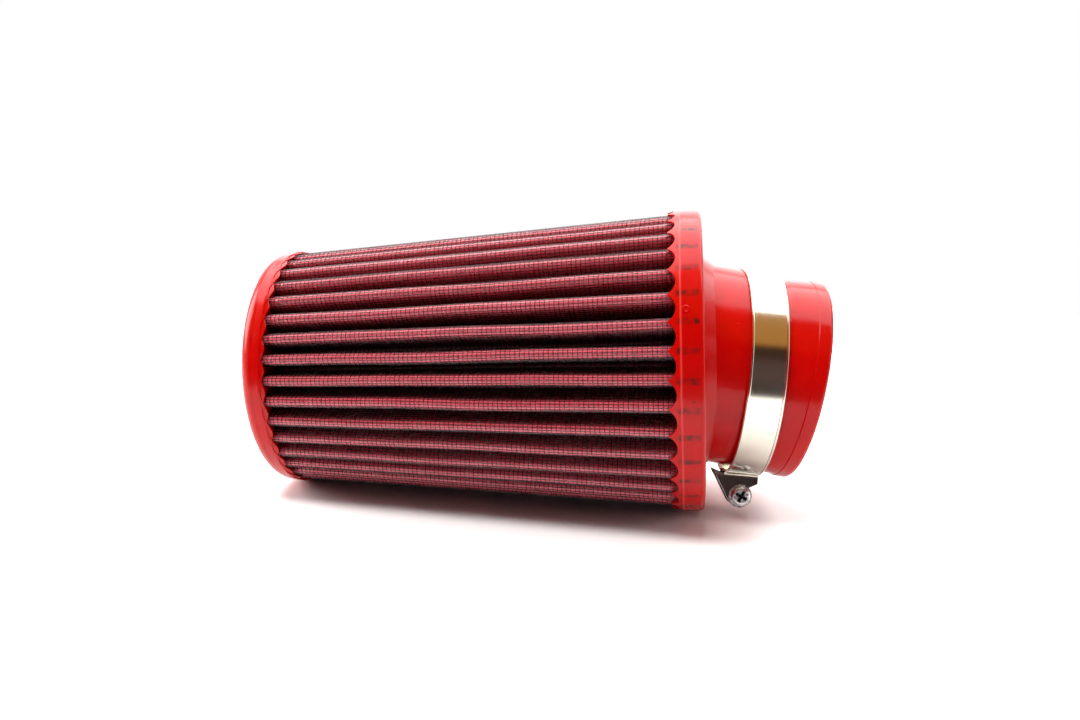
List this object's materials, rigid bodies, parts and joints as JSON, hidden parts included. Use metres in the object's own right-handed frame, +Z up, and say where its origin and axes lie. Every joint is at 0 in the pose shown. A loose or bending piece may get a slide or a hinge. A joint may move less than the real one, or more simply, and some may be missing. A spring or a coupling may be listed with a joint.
{
  "type": "cone air filter",
  "caption": "Clamp-on cone air filter: pleated oiled cotton between wire screens, a moulded red cap and base, an angled neck and a band clamp with a cross-head screw.",
  "frame": {"origin": "on the floor under the middle of the part's box; the filter lies on its side, on the widest line of its cap and the front ridge of its base ring", "axes": "+X from the cap towards the neck, nearly along the cone's axis; +Z up; +Y away from the clamp's screw head"},
  "size_m": [0.232, 0.124, 0.124],
  "materials": {
    "red_rubber": "smooth moulded polyurethane with a soft gloss",
    "wire_screen": "dark coated woven wire",
    "oiled_cotton": "oiled cotton gauze",
    "band_steel": "bright rolled strip",
    "zinc_steel": "bright zinc plate"
  },
  "bodies": {
    "root": {"end_cap": "red_rubber", "base_neck": "red_rubber", "outer_screen": "wire_screen", "cotton": "oiled_cotton", "inner_screen": "wire_screen", "clamp_band": "band_steel", "clamp_bridge": "band_steel", "clamp_screw": "zinc_steel", "clamp_washer": "zinc_steel", "clamp_nut": "zinc_steel"}
  },
  "joints": []
}
